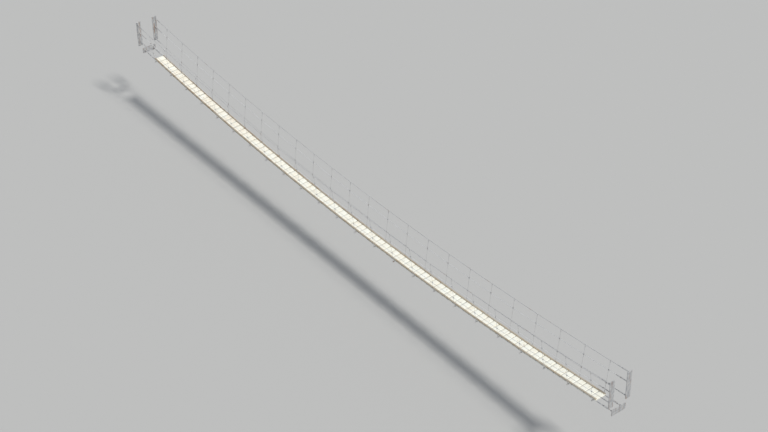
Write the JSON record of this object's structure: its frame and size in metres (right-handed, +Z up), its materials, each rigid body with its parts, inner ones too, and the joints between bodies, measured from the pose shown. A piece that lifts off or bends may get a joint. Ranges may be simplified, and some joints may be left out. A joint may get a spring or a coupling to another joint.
{
  "type": "suspension footbridge",
  "caption": "Narrow suspension footbridge: sagging timber deck on two wire ropes, netted rope sides, handrail ropes and bolted anchor plates.",
  "frame": {"origin": "middle of the back face of the left deck anchor plate, level with the deck cables", "axes": "+X along the bridge from the left anchors to the right ones, +Y to the far side, +Z up"},
  "size_m": [26.2, 0.8844, 2.1074],
  "materials": {
    "deck_timber": "weathered pale softwood",
    "wire_rope": "galvanised strand, dull",
    "net_wire": "galvanised strand, dull",
    "galvanised_fittings": "hot-dip galvanised",
    "anchor_steel": "galvanised plate with rust stains"
  },
  "bodies": {
    "root": {"deck_section_01": "deck_timber", "deck_section_02": "deck_timber", "deck_section_03": "deck_timber", "deck_section_04": "deck_timber", "deck_section_05": "deck_timber", "deck_section_06": "deck_timber", "deck_section_07": "deck_timber", "deck_section_08": "deck_timber", "deck_section_09": "deck_timber", "deck_section_10": "deck_timber", "deck_section_11": "deck_timber", "deck_section_12": "deck_timber", "deck_cable_near": "wire_rope", "handrail_cable_near": "wire_rope", "side_net_near": "net_wire", "deck_cable_far": "wire_rope", "handrail_cable_far": "wire_rope", "side_net_far": "net_wire", "anchor_plate_left_deck": "anchor_steel", "anchor_plate_left_near": "anchor_steel", "tensioner_left_near_deck": "galvanised_fittings", "tensioner_left_near_lower": "galvanised_fittings", "tensioner_left_near_middle": "galvanised_fittings", "tensioner_left_near_handrail": "galvanised_fittings", "anchor_plate_left_far": "anchor_steel", "tensioner_left_far_deck": "galvanised_fittings", "tensioner_left_far_lower": "galvanised_fittings", "tensioner_left_far_middle": "galvanised_fittings", "tensioner_left_far_handrail": "galvanised_fittings", "anchor_plate_right_deck": "anchor_steel", "anchor_plate_right_near": "anchor_steel", "tensioner_right_near_deck": "galvanised_fittings", "tensioner_right_near_lower": "galvanised_fittings", "tensioner_right_near_middle": "galvanised_fittings", "tensioner_right_near_handrail": "galvanised_fittings", "anchor_plate_right_far": "anchor_steel", "tensioner_right_far_deck": "galvanised_fittings", "tensioner_right_far_lower": "galvanised_fittings", "tensioner_right_far_middle": "galvanised_fittings", "tensioner_right_far_handrail": "galvanised_fittings"}
  },
  "joints": []
}
